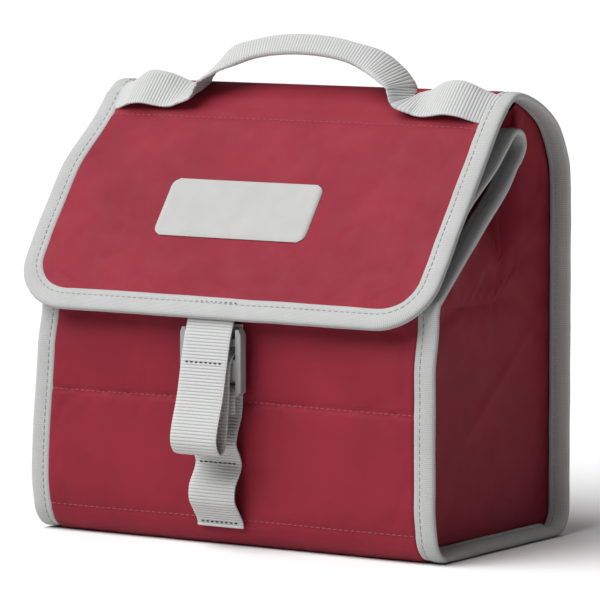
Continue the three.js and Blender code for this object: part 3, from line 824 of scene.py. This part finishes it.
for side, sign in SIDES:
    flip = np.array([sign, 1, 1])
    out = (sign, 0, 0)
    outer_cloth(f"side_cloth_{side}", np.concatenate([panel, tuck]) * flip, out,
                f"side_panel_{side}", SIDE_SKIN, body="body")
    outer_cloth(f"fold_front_{side}", fold[:, :SIDE_COLUMNS] * flip, out,
                f"side_fold_front_{side}", FOLD_SKIN, blend=half_blend("throat", FRONT_HALF, sign))
    outer_cloth(f"fold_rear_{side}", fold[:, SIDE_COLUMNS - 1:] * flip, out,
                f"side_fold_rear_{side}", FOLD_SKIN, blend=half_blend("ridge", REAR_HALF, sign))

# -------- bound edges

TAPE_WIDTH = EDGE_X - TAPE_X + 0.9
TAPE_THICK = 3.5
TAPE_STEP = 1.6


def tape_section(width, thick):
    """The binding folded round a seam: puffed, with a dent where its stitches run."""
    section = flat_section(width, thick, 15, 3.2)
    dent = 0.38 * bell(section[:, 0], -width / 6, 0.9) * np.sign(section[:, 1])
    section[:, 1] -= dent
    return section


def bound_edge(name, path, across, slot_nodes, width=TAPE_WIDTH, thick=TAPE_THICK, **motion):
    """A folded tape along an edge, with its stitches. across points outwards from the cloth."""
    s = arc_length(path)
    at = np.linspace(0, s[-1], max(int(s[-1] / TAPE_STEP), 8))
    across = np.broadcast_to(np.asarray(across, float), path.shape)
    path, across = (sampled(values, s, at) for values in (path, across))
    swell = 1 + 0.07 * soft_noise(path, 11, 12)
    edge = path + unit(across) * (0.25 * soft_noise(path, 17, 13))[:, None]
    section = tape_section(width, thick)

    def shape(i):
        return section * [1, swell[i]]

    place(sweep(name, edge, across, shape, tape), "binding_tape", slot_nodes, **motion)
    t = tangents(edge)
    side = unit(across - (across * t).sum(1)[:, None] * t)
    up = np.cross(t, side)
    lift = thick / 2 - 0.25
    runs = [(edge - side * width / 6 + up * lift * k, up * k) for k in (1, -1)]
    place(thread(f"{name}_stitches", runs, grey_thread), "binding_tape", **motion)


def side_path(run, x):
    """A path in Y-Z, set at one x."""
    path = np.zeros((len(run), 3))
    path[:, 0] = x
    path[:, 1:] = run
    return path


MIDDLE_X = TAPE_X + TAPE_WIDTH / 2 - 0.6
half_thick = TAPE_THICK / 2
body_run = np.vstack([
    even([[FRONT_Y + half_thick, FRONT_FOLD[1] - 4], [FRONT_Y + half_thick, CORNER + 2]], 50),
    arc(FRONT_Y + CORNER, CORNER, CORNER - half_thick, 184, 266, 14),
    even([[FRONT_Y + CORNER + 1, half_thick], [REAR_Y - CORNER - 1, half_thick]], 40),
    arc(REAR_Y - CORNER, CORNER, CORNER - half_thick, 274, 356, 14),
    even([[REAR_Y - half_thick, CORNER + 2], [REAR_Y - half_thick, REAR_SPLIT]], 50),
])
# 1 along the base between its bent corners, where the tape is tilted and lifted a little.
level = smoothstep(-np.abs(body_run[:, 0]), -54, -46) * (body_run[:, 1] < CORNER)
body_run[:, 0] -= proud((body_run[:, 0] < 0).astype(float), body_run[:, 1])
ridge_tape = np.vstack([
    [[REAR_Y - half_thick, REAR_SPLIT], [REAR_Y - half_thick, 150]], shifted(top_run, half_thick),
])
ridge_tape = even(ridge_tape, 90)
ridge_end = int(np.argmin(np.linalg.norm(
    ridge_tape - (flap_from[1:] - FLAP_OUT[1:] * half_thick), axis=1)))
throat_run = np.vstack([
    [[FRONT_Y + half_thick, FRONT_FOLD[1] - 4], [FRONT_Y + half_thick, FRONT_FOLD[1] - 1]],
    spline([(-57, 116.8), (-40, 131.0), (-20, 147.2), (2, 164.7), (14.6, 176.5)], 30),
])
loop_run = shifted(spline(LOOP, 50), -1.4)
for side, sign in SIDES:
    tilt = np.zeros((len(body_run), 3))
    tilt[:, 0] = sign
    tilt[:, 2] = -0.36 * level
    path = side_path(body_run, sign * MIDDLE_X)
    path[:, 0] -= sign * 0.3 * level
    path[:, 2] += 1.6 * level
    bound_edge(f"body_tape_{side}", path, tilt, [f"body_binding_{side}"], body="body")
    bound_edge(f"ridge_tape_{side}", side_path(ridge_tape[:ridge_end + 1], sign * MIDDLE_X),
               (sign, 0, 0), [f"top_binding_{side}"], blend=TO_RIDGE)
    throat_path = side_path(throat_run, sign * MIDDLE_X)
    throat_path[:, 0] -= sign * 1.2 * smoothstep(throat_run[:, 0], 0, 14)
    bound_edge(f"throat_tape_{side}", throat_path, (sign, 0, 0), [f"throat_binding_{side}"],
               blend=TO_THROAT)
    loop_path = side_path(loop_run, sign * (MIDDLE_X - 0.3))
    loop_path[:, 0] -= sign * 4.5 * smoothstep(-loop_run[:, 0], 2, 30)
    bound_edge(f"cuff_tape_{side}", loop_path, (sign, 0, 0), [], TAPE_WIDTH - 0.6, 3.2, body="throat")

# The flap's binding goes down one side, along the lower edge and up the other.
middle_half = EDGE_X - FLAP_TAPE / 2
middle_radius = FLAP_RADIUS - FLAP_TAPE / 2
turn = np.radians(np.linspace(0, 90, 18))
low_v = FLAP_LENGTH - FLAP_TAPE / 2
corner_x = middle_half - middle_radius + middle_radius * np.cos(turn)
corner_v = low_v - middle_radius + middle_radius * np.sin(turn)
down_x = np.concatenate([np.full(40, middle_half), corner_x])
down_v = np.concatenate([np.linspace(-0.5, low_v - middle_radius - 2, 40), corner_v])
out_x = np.concatenate([np.ones(40), np.cos(turn)])
out_v = np.concatenate([np.zeros(40), np.sin(turn)])
TAPE_SINK = -1.6
right_down = flap_point(down_x, down_v, TAPE_SINK)
right_out = out_x[:, None] * np.array([1.0, 0, 0]) + out_v[:, None] * FLAP_DOWN
over_hinge = side_path(ridge_tape[ridge_end:-2], middle_half)
blend_in = np.linspace(0, 1, len(over_hinge))
over_hinge[:, 0] = MIDDLE_X + (middle_half - MIDDLE_X) * blend_in
mirror = np.array([-1, 1, 1])
left_down = flap_point(-down_x, down_v, TAPE_SINK)
half_out = np.vstack([np.tile([1.0, 0, 0], (len(over_hinge), 1)), right_out])
flap_path = np.vstack([over_hinge, right_down, left_down[::-1], (over_hinge * mirror)[::-1]])
flap_out = np.vstack([half_out, (half_out * mirror)[::-1]])
bound_edge("flap_tape", flap_path, flap_out, ["flap_binding"], FLAP_TAPE + 0.4, 4.2, blend=TO_FLAP)

# -------- label

half_high = LABEL["height"] / 2
rounding = LABEL["corner"]
v = np.linspace(-1, 1, 22)
into = np.maximum(np.abs(v) * half_high - (half_high - rounding), 0)
reach = LABEL["width"] / 2 - rounding + np.sqrt(rounding**2 - np.minimum(into, rounding * 0.98)**2)
u = np.linspace(-1, 1, 48)
label_x = LABEL["x"] + reach[:, None] * u
label_v = np.broadcast_to(LABEL["v"] + v[:, None] * half_high, label_x.shape)
rim = np.minimum((1 - np.abs(u))[None] * reach[:, None], (1 - np.abs(v))[:, None] * half_high)
label_w = 0.55 + 0.5 * smoothstep(rim, 0, 1.2)
label_grid = flap_point(label_x, label_v, label_w)
place(sheet_object("label_plate", label_grid, 0.7, patch, FLAP_OUT),
      "label_patch", ["label_patch"], "flap")

# -------- webbing

RIB_STEPS = 6


def ribbed(name, path, across, width, thick, slot_nodes, fold=None, droop=None, **motion):
    """Ribbed webbing along a path. fold is how far it is folded double, from 0 to 1, and droop
    how far its rear edge bends down, each as a function of the part of the path."""
    s = arc_length(path)
    length = s[-1]
    count = int(length / RIB) * RIB_STEPS + 1
    at = np.linspace(0, length, count)
    across = np.broadcast_to(np.asarray(across, float), path.shape)
    path, across = (sampled(values, s, at) for values in (path, across))
    columns = 17
    flat = np.linspace(-0.5, 0.5, columns)
    edge = np.ones(columns)
    edge[[1, -2]] = 0.85
    edge[[0, -1]] = 0.4

    def shape(i):
        rib = abs(math.sin(math.pi * i / RIB_STEPS)) ** 0.6
        amount = 0.0 if fold is None else fold(at[i] / length)
        half = (thick / 2 * (1 + 0.9 * amount) - 0.2 + 0.28 * rib) * edge
        line = flat * width * (1 - 0.47 * amount)
        middle = np.zeros(columns)
        if droop is not None:
            middle = -3.2 * droop(at[i] / length) * np.maximum(-2 * flat, 0) ** 2
        front = np.stack([line, middle + half], 1)
        back = np.stack([line, middle - half], 1)
        return np.vstack([front, back[::-1]])

    piece = sweep(name, path, across, shape, web, np.arange(count) * RIB / RIB_STEPS)
    return place(piece, "webbing", slot_nodes, **motion)


# Handle: tails lie on the slope above the hinge line, the grip stands up folded lengthwise.
TAIL_ANGLE = 0.83
tail_out = np.array([0, -math.sin(TAIL_ANGLE), math.cos(TAIL_ANGLE)])
TAIL_ORIGIN = np.array([0, -0.4, 202.1])
tail_run = np.array([
    (104.5, -2.8), (100.5, -1.8), (96, 0.2), (90.5, 2.8), (83.5, 3.9), (76.5, 2.5), (70.5, 0.5),
    (65.5, -0.5), (61.5, -0.2),
])
tail_points = TAIL_ORIGIN + tail_out * (tail_run[:, 1:] + 1.4)
tail_points[:, 0] = tail_run[:, 0]
grip_low, grip_high = node_box("handle_grip")
grip_y = grip_low[1] * 0.5 + grip_high[1] * 0.5
grip_top = grip_high[2]
arch = np.array([
    (58, -1.2, 203.8), (55.6, -0.3, 206.8), (53.4, grip_y, 210.2), (48.8, grip_y, grip_top - 18.0),
    (38.5, grip_y, grip_top - 11.7), (20, grip_y, grip_top - 6.7), (0, grip_y, grip_top - 5.1),
])
half_handle = np.vstack([tail_points, arch])
handle_run = np.vstack([half_handle, (half_handle * mirror)[-2::-1]])
handle_path = spline(handle_run, 400)
x_now = np.abs(handle_path[:, 0])
lean = TAIL_ANGLE - 0.5 * smoothstep(-x_now, -77, -57) + 0.62 * smoothstep(-x_now, -56, -30)
handle_across = -np.stack([np.zeros(len(lean)), np.cos(lean), np.sin(lean)], 1)
cut_right = int(np.argmax(x_now < 47))
cut_left = len(x_now) - 1 - cut_right
folded = smoothstep(-x_now, -58, -26)
drooped = smoothstep(x_now, 84, 99)


def part_of(values, first, last):
    def value(part):
        return float(np.interp(first + part * (last - first), np.arange(len(values)), values))
    return value


def handle_blend(sign):
    return ("ridge", "handle", (sign * 66, 0, 0), (sign * 58, 0, 0))


TAIL_WEB = 20.0
TAIL_THICK = 1.7
for name, first, last, nodes, motion in (
    ("handle_end_right", 0, cut_right, ["handle_tail_right"], {"blend": handle_blend(1)}),
    ("handle_middle", cut_right, cut_left, ["handle_grip"], {"body": "handle"}),
    ("handle_end_left", cut_left, len(x_now) - 1, ["handle_tail_left"], {"blend": handle_blend(-1)}),
):
    ribbed(name, handle_path[first:last + 1], handle_across[first:last + 1], TAIL_WEB, TAIL_THICK, nodes,
           part_of(folded, first, last), part_of(drooped, first, last), **motion)


STRAP_THICK = 1.7
flap_strap_path = side_path(spline([
    (-68.6, 106.5), (-70.0, 102.5), (-72.0, 97), (-74.2, 88), (-78, 71), (-82.6, 57), (-83.4, 50),
    (-80.4, 45.4), (-76.6, 47.6), (-74.8, 55), (-73.4, 67), (-72.6, 80), (-71.4, 87), (-66.6, 91.2),
    (-62.6, 95.6), (-61.9, 103.2),
], 200), STRAP_X)
ribbed("pull_strap", flap_strap_path, (1, 0, 0), STRAP_WIDTH, STRAP_THICK, ["flap_strap"], body="flap")
front_strap_path = side_path(spline([
    (-61.3, 9.5), (-61.9, 12.5), (-65.4, 17.5), (-68.6, 22.5), (-68.2, 29), (-64.4, 35), (-62.9, 39.2),
    (-64.6, 43.5), (-67.4, 48.5), (-66, 54.5), (-63, 61.5), (-62, 69), (-62.5, 73.4), (-65, 74.9),
    (-67.6, 73.2), (-68.2, 68), (-68.2, 62.5),
], 200), STRAP_X)
lower_strap = ribbed("lower_strap", front_strap_path, (1, 0, 0), STRAP_WIDTH, STRAP_THICK,
                     ["front_strap"], body="body")


def slackens(piece):
    """Gives the piece a mesh of its own."""
    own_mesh(piece)


slackens(lower_strap)

# -------- stitches on the cloth

def row_on(grid, index, out):
    """A row of the grid just clear of the cloth, and the cloth's normals there."""
    n = normals(grid, out)
    return grid[index] + n[index] * 0.1, n[index]


def row_at(grid, height):
    return int(np.argmin(np.abs(grid[:, grid.shape[1] // 4, 2] - height)))


front_runs = [row_on(front, row_at(front, height), (0, -1, 0)) for height in FRONT_ROWS]
place(thread("front_stitches", front_runs, red_thread, radius=0.3), "coated_fabric", body="body")
hinge_row = len(joined) - len(skin) + int(round(HINGE_SEAM / skin_length * (len(skin) - 1)))
place(thread("hinge_stitches", [row_on(joined, hinge_row, (0, 0, 1))], red_thread, radius=0.3),
      "coated_fabric", blend=TO_FLAP)


def strap_line(z, path):
    """A stitch row straight across the strap where its path passes that height."""
    i = int(np.argmin(np.abs(path[:100, 2] - z)))
    t = tangents(path[:, 1:])[i]
    out = np.array([0, t[1], -t[0]])
    if out[1] > 0:
        out = -out
    reach = STRAP_WIDTH / 2 - 2.2
    x = np.linspace(-reach, reach, 20)
    return path[i] + out * 0.95 + x[:, None] * np.array([1.0, 0, 0]), out


place(thread("pull_strap_stitches", [strap_line(86, flap_strap_path)], dark_thread,
             2.4, 1.6, 0.35), "webbing", body="flap")
slackens(place(thread("lower_strap_stitches",
                      [strap_line(z, front_strap_path) for z in (12.0, 39.2)],
                      dark_thread, 2.4, 1.9, 0.35), "webbing", body="body"))
bar = flap_point(np.linspace(-STRAP_WIDTH / 2 - 2, STRAP_WIDTH / 2 + 2, 20) + STRAP_X,
                 FLAP_LENGTH - FLAP_TAPE + 2.8, 0.55)
place(thread("flap_bar_stitches", [(bar, FLAP_OUT)], dark_thread, 2.6, 1.5, 0.32),
      "binding_tape", body="flap")

# -------- insulation and liner

def cushion(name, grid, thick, out, node, body):
    """A foam slab whose faces round off towards its edges."""
    u = np.abs(np.linspace(-1, 1, grid.shape[1]))[None]
    w = np.abs(np.linspace(-1, 1, grid.shape[0]))[:, None]
    crown = (1 - u**18) ** 0.5 * (1 - w**14) ** 0.5
    n = normals(grid, out)
    slack = thick * (1 - (0.45 + 0.53 * crown)) / 2
    slack += 0.12 * (1 + soft_noise(grid, 13, 21))
    piece = sheet_object(name, grid - n * slack[..., None], thick - 2 * slack, foam, out)
    place(piece, "insulation_foam", [node], body)


def lining(name, grid, out, node, body, wave=0.35):
    """Liner film with soft waves that fade out at its edges."""
    n = normals(grid, out)
    rows = np.arange(grid.shape[0])
    columns = np.arange(grid.shape[1])
    from_rim = np.minimum.outer(np.minimum(rows, rows[::-1]), np.minimum(columns, columns[::-1]))
    ease = smoothstep(from_rim, 0, 5)
    grid = grid - n * (wave * ease * (1 + soft_noise(grid, 16, 22)))[..., None]
    place(sheet_object(name, grid, 0.6, liner, out), "wipe_clean_liner", [node], body)


RIM_GAP = 0.3  # how far a pad or liner stays inside its CAD box at the sides


def thickness_of(node, axis):
    low, high = node_box(node)
    return high[axis] - low[axis]


def upright(node, sign):
    """The outer face of an upright wall's node. sign is -1 at the front and 1 at the rear."""
    low, high = node_box(node)
    face = low[1] if sign < 0 else high[1]
    run = even([[face, low[2]], [face, high[2]]], 26)
    return across_x(run, low[0] + RIM_GAP, high[0] - RIM_GAP, 48)


for wall_name, sign in (("front", -1), ("rear", 1)):
    pad = f"{wall_name}_foam"
    film_node = f"{wall_name}_liner"
    out = (0, sign, 0)
    cushion(f"{wall_name}_pad", upright(pad, sign), thickness_of(pad, 1), out, pad, "body")
    lining(f"{wall_name}_lining", upright(film_node, sign), out, film_node, "body")


def level_sheet(node):
    low, high = node_box(node)
    run = even([[low[1] + RIM_GAP, low[2]], [high[1] - RIM_GAP, low[2]]], 28)
    return across_x(run, low[0] + RIM_GAP, high[0] - RIM_GAP, 48)


down = (0, 0, -1)
cushion("base_pad", level_sheet("base_foam"), thickness_of("base_foam", 2), down, "base_foam", "body")
lining("base_lining", level_sheet("base_liner"), down, "base_liner", "body", -0.25)


def side_sheet(node, sign):
    """The outer face of a side's node. sign is 1 at the right and -1 at the left."""
    low, high = node_box(node)
    x = high[0] if sign > 0 else low[0]
    y = np.linspace(low[1] + RIM_GAP, high[1] - RIM_GAP, 34)
    z = np.linspace(low[2], high[2], 28)
    grid = np.zeros((28, 34, 3))
    grid[:, :, 0] = x
    grid[:, :, 1] = y[None]
    grid[:, :, 2] = z[:, None]
    return grid


for side, sign in SIDES:
    pad = f"side_foam_{side}"
    film_node = f"side_liner_{side}"
    out = (sign, 0, 0)
    cushion(f"side_pad_{side}", side_sheet(pad, sign), thickness_of(pad, 0), out, pad, "body")
    lining(f"side_lining_{side}", side_sheet(film_node, sign), out, film_node, "body")

FOAM_AT = SKIN + 0.5  # from the face of the outer cloth to the foam
FOAM = 3.7
throat_inner = even([(8, 168.9), (-20, 146.5), (-50, 122.2)][::-1], 30)
top_inner = top_run[4:-6]
for name, run, body in (("throat", throat_inner, "throat"), ("top", top_inner, "ridge")):
    low, high = node_box(f"{name}_foam")
    out = (0, 0.5, 1) if name == "top" else (0, -0.6, 1)
    outer = across_x(run, low[0], high[0], 44)
    n = normals(outer, out)
    cushion(f"{name}_pad", outer - n * FOAM_AT, FOAM, out, f"{name}_foam", body)
    lining(f"{name}_lining", outer - n * (FOAM_AT + FOAM + 0.5), out, f"{name}_liner", body)

under = tongue_grid(skin_half - 5, skin_length - 5, 12, 40, 50, -1.6, 2.6)[0]
cushion("flap_pad", under, 1.5, FLAP_OUT, "flap_foam", "flap")
under = tongue_grid(skin_half - 1, skin_length - 1, 15, 44, 60, -3.5, 2.4)[0]
lining("flap_lining_film", under, FLAP_OUT, "flap_lining", "flap", 0.2)

# -------- board and buckle

def softened(node, name, material, slot_name, body, radius):
    """The CAD piece with its flat faces kept and its edges rounded."""
    mesh = frame["nodes"][node].data.copy()
    piece = new_object(name, mesh)
    work = bmesh.new()
    work.from_mesh(mesh)
    bmesh.ops.remove_doubles(work, verts=work.verts, dist=1e-6)
    bmesh.ops.dissolve_limit(
        work, angle_limit=math.radians(2), verts=work.verts, edges=work.edges)
    sharp = [e for e in work.edges if e.is_manifold and e.calc_face_angle(0) > math.radians(25)]
    bmesh.ops.bevel(work, geom=sharp, offset=radius * MM, segments=3, profile=0.6,
                    affect="EDGES", clamp_overlap=True)
    bmesh.ops.recalc_face_normals(work, faces=work.faces)
    work.to_mesh(mesh)
    work.free()
    mesh.materials.clear()
    mesh.materials.append(material)
    mesh.shade_smooth()
    mesh.set_sharp_from_angle(angle=math.radians(40))
    place(piece, slot_name, [node], body)


softened("base_board", "board", board, "stiffener_board", "body", 0.6)
for node, name, body, radius in (
    ("buckle_socket", "socket", "flap", 0.5),
    ("buckle_plug", "plug_piece", "plug", 0.45),
    ("buckle_arm_right", "arm_piece_right", "arm_right", 0.45),
    ("buckle_arm_left", "arm_piece_left", "arm_left", 0.45),
):
    softened(node, name, plastic, "buckle_plastic", body, radius)

# -------- floor, light and camera

FLOOR_SIDES = 48
ring = [(r * math.cos(a), r * math.sin(a), 0) for r in (600, 40000)
        for a in np.linspace(0, 2 * math.pi, FLOOR_SIDES, endpoint=False)]
faces = [tuple(range(FLOOR_SIDES))]
for i in range(FLOOR_SIDES):
    k = (i + 1) % FLOOR_SIDES
    faces.append((i, k, FLOOR_SIDES + k, FLOOR_SIDES + i))
studio, _, studio_shader = new_material("studio", 0.8, 0.0, 0.2)
studio_shader.inputs["Base Color"].default_value = (0.76, 0.76, 0.76, 1)
floor = make_object("studio_floor", ring, faces, studio)
floor.location.z = -0.00005


def soft_sun(name, towards, angle, strength):
    light = bpy.data.lights.new(name, "SUN")
    light.angle = math.radians(angle)
    light.energy = strength
    lamp = new_object(name, light)
    lamp.rotation_euler = Vector(towards).to_track_quat("Z", "Y").to_euler()
    lamp.location = towards


soft_sun("key", (-0.42, -0.74, 1.04), 55, 4.85)
soft_sun("top", (-0.2, 0.15, 1.0), 60, 0.5)

world = bpy.data.worlds.new("studio")
bpy.context.scene.world = world
world.use_nodes = True
background = world.node_tree.nodes["Background"].inputs
background["Color"].default_value = (1, 1, 1, 1)
background["Strength"].default_value = 0.09
bpy.context.scene.view_settings.view_transform = "Standard"

AZIMUTH = math.radians(33.0)
ELEVATION = math.radians(5.7)
DISTANCE = 2.254
right = Vector((math.cos(AZIMUTH), math.sin(AZIMUTH), 0))
target = right * -0.0006 + Vector((0, 0, 0.1086))
offset = Vector((math.sin(AZIMUTH) * math.cos(ELEVATION),
                 -math.cos(AZIMUTH) * math.cos(ELEVATION), math.sin(ELEVATION)))
camera_data = bpy.data.cameras.new("camera")
camera_data.lens = 290.9
camera_data.sensor_width = 36
camera = new_object("camera", camera_data)
camera.location = target + offset * DISTANCE
camera.rotation_euler = (-offset).to_track_quat("-Z", "Y").to_euler()
bpy.context.scene.camera = camera
